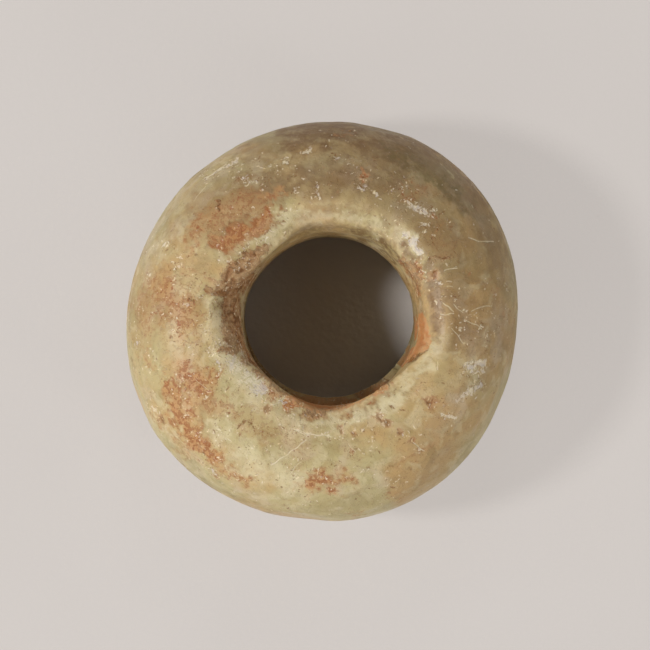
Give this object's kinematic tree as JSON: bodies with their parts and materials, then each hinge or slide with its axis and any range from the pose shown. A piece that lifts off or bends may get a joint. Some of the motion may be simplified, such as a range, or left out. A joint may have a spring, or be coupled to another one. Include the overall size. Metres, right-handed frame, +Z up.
{
  "type": "perforated stone",
  "caption": "Squat ring of polished green stone with a hole drilled through it from both faces, standing on its ground flat underside.",
  "frame": {"origin": "middle of the footprint, on the ground flat underside", "axes": "+Z up along the hole, out of the more worn mouth; seen from above, +Y points up the page and +X points right"},
  "size_m": [0.05, 0.051, 0.0251],
  "materials": {
    "green_stone": "hand polished, waxy, with buried patina, rust stains and soil in its pits"
  },
  "bodies": {
    "root": {"perforated_stone": "green_stone"}
  },
  "joints": []
}
